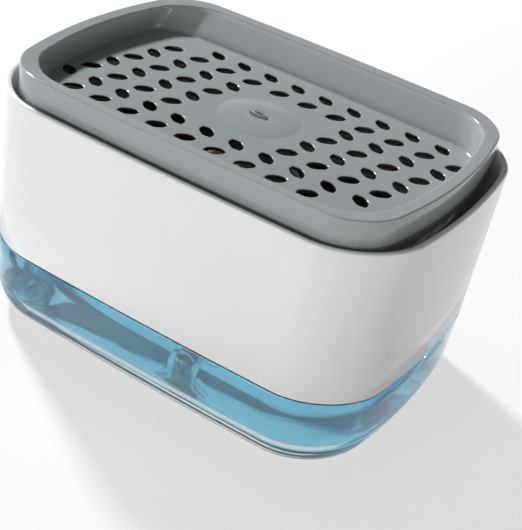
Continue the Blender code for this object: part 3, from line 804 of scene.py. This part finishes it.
# %% Give the floor its white finish
def combined(tree, operation, one, two):
    """Put two values through one Math node."""
    node = tree.nodes.new("ShaderNodeMath")
    node.operation = operation
    tree.links.new(one, node.inputs[0])
    tree.links.new(two, node.inputs[1])
    return node.outputs[0]


floor_white, floor_roughness, floor_glow = 0.9, 0.9, 1.05
near_reach, far_reach, near_share, far_share = 0.35, 1.4, 0.6, 1.0
floor_finish = bpy.data.materials.new("floor_white")
floor_finish.use_nodes = True
tree = floor_finish.node_tree
matt = tree.nodes["Principled BSDF"]
matt.inputs["Base Color"].default_value = (floor_white, floor_white, floor_white, 1.0)
matt.inputs["Roughness"].default_value = floor_roughness
glow = tree.nodes.new("ShaderNodeEmission")
glow.inputs["Strength"].default_value = floor_glow
rays = tree.nodes.new("ShaderNodeLightPath")
seen = combined(tree, "MAXIMUM", rays.outputs["Is Camera Ray"], rays.outputs["Is Glossy Ray"])
seen = combined(tree, "MAXIMUM", seen, rays.outputs["Is Transmission Ray"])
spot = tree.nodes.new("ShaderNodeTexCoord")
distance = tree.nodes.new("ShaderNodeVectorMath")
distance.operation = "LENGTH"
tree.links.new(spot.outputs["Object"], distance.inputs[0])
fade = ranged(tree, distance.outputs["Value"], near_reach, far_reach, near_share, far_share)
mixed = tree.nodes.new("ShaderNodeMixShader")
tree.links.new(combined(tree, "MULTIPLY", seen, fade), mixed.inputs[0])
tree.links.new(matt.outputs[0], mixed.inputs[1])
tree.links.new(glow.outputs[0], mixed.inputs[2])
tree.links.new(mixed.outputs[0], tree.nodes["Material Output"].inputs["Surface"])
floor_mesh.materials.append(floor_finish)
print("near the object the floor shines by", near_share, "of its full share")

# %% [markdown]
# ## The studio
#
# The world is a soft studio: brightest near the horizon on the left, and darker towards the top and
# the right, as the soft gloss on the real cover and tray shows. It is plain white where the camera
# looks at it, directly or through the clear tank, so that the background stays white.

# %% Build the studio world
horizon_height, high_height, horizon_level, high_level = 0.05, 0.40, 0.9, 0.12
left_end, right_end, left_level, right_level = -0.3, 0.7, 1.0, 0.2
world = bpy.data.worlds.new("studio")
world.use_nodes = True
bpy.context.scene.world = world
sky = world.node_tree
place = sky.nodes.new("ShaderNodeTexCoord")
parts = sky.nodes.new("ShaderNodeSeparateXYZ")
sky.links.new(place.outputs["Generated"], parts.inputs[0])
by_height = ranged(sky, parts.outputs["Z"], horizon_height, high_height, horizon_level, high_level)
by_side = ranged(sky, parts.outputs["X"], left_end, right_end, left_level, right_level)
backdrop = sky.nodes.new("ShaderNodeLightPath")
seen_white = combined(sky, "MAXIMUM", backdrop.outputs["Is Camera Ray"],
                      backdrop.outputs["Is Transmission Ray"])
strength = combined(sky, "MAXIMUM", combined(sky, "MULTIPLY", by_height, by_side), seen_white)
sky.links.new(strength, sky.nodes["Background"].inputs["Strength"])
sky.nodes["Background"].inputs["Color"].default_value = (1.0, 1.0, 1.0, 1.0)
print("the horizon is lit at", horizon_level, "and the top at", high_level)

# %% [markdown]
# ## Light in the clear tank
#
# A ray that enters the tank crosses plastic and soap many times, because both mirror it from within
# at their foot and their ends. When Blender stops following it too early, the tank gets grey and
# black patches. So a ray may bounce more often here than by default.

# %% Let light go far enough in the tank
light_paths = bpy.context.scene.cycles
light_paths.max_bounces = light_paths.transmission_bounces = 40
light_paths.glossy_bounces = 24
print("light may bounce", light_paths.max_bounces, "times")

# %% [markdown]
# ## The lamps
#
# In the photograph a small strong light comes from the left and a little behind: it puts the crisp
# shadow into the tray's left end. A wide soft light comes from the front, and a weak low one from
# the right keeps that side of the cover from going grey. Area lamps are used for all three, because
# an area lamp's size sets how soft its shadow is.

# %% Place the lamps
def lamp(name, place, target, width, height, power):
    """A soft rectangular lamp that faces a point."""
    data = bpy.data.lights.new(name, "AREA")
    data.shape = "RECTANGLE"
    data.size, data.size_y, data.energy = width, height, power
    thing = bpy.data.objects.new(name, data)
    thing.location = place
    thing.rotation_mode = "QUATERNION"
    thing.rotation_quaternion = (Vector(target) - Vector(place)).to_track_quat("-Z", "Y")
    bpy.context.scene.collection.objects.link(thing)
    print(name, "lamp of", power, "W at", place)


lamp("key", (-1.09, 0.52, 1.07), (0.0, 0.0, 0.06), 0.16, 0.20, 28.0)
lamp("front", (-0.15, -1.8, 0.32), (0.0, 0.0, 0.05), 1.6, 0.5, 14.0)
lamp("right", (1.6, 0.30, 0.15), (0.0, 0.0, 0.07), 1.2, 0.16, 4.0)
